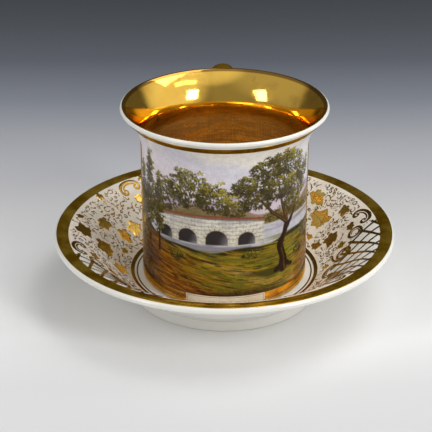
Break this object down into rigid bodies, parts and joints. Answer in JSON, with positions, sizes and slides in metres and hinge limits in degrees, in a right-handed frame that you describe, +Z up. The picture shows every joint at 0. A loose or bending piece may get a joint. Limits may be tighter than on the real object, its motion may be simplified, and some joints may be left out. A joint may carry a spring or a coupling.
{
  "type": "cup and saucer",
  "caption": "Gilded porcelain cup with a flared lip, loop handle and painted panel, standing loose in the well of a deep saucer with gold bands, vine and trellis ornament.",
  "frame": {"origin": "on the common axis of cup and saucer, at table level under the saucer's foot ring", "axes": "+Z up along the axis, -Y towards the painted front of the cup, +Y along the handle, +X to the right seen from the front"},
  "size_m": [0.1538, 0.1538, 0.0903],
  "materials": {
    "porcelain": "clear glossy glaze over white hard porcelain",
    "gold": "burnished fired gold, a little worn",
    "inside_gold": "bright burnished fired gold with fine use marks",
    "cream_ground": "thin cream enamel, glossy",
    "panel_enamel": "hand-painted overglaze enamel, glossy",
    "label_enamel": "cream enamel, glossy and bare of words",
    "slip": "fired porcelain slip"
  },
  "bodies": {
    "saucer": {"saucer_body": "porcelain", "rim_gilding": "gold", "flange_ground": "cream_ground", "wide_well_ring": "gold", "fine_well_ring": "gold"},
    "cup": {"cup_body": "porcelain", "interior_gilding": "inside_gold", "lip_band": "gold", "painted_panel": "panel_enamel", "panel_lines": "gold", "base_band": "gold", "caption_label": "label_enamel", "cup_handle": "porcelain", "handle_gilding": "gold", "upper_slip_joint": "slip", "lower_slip_joint": "slip"}
  },
  "joints": [
    {"name": "cup_lift", "type": "slide", "parent": "saucer", "child": "cup", "axis": [0, 0, 1], "range_m": [0, 0.12]}
  ]
}
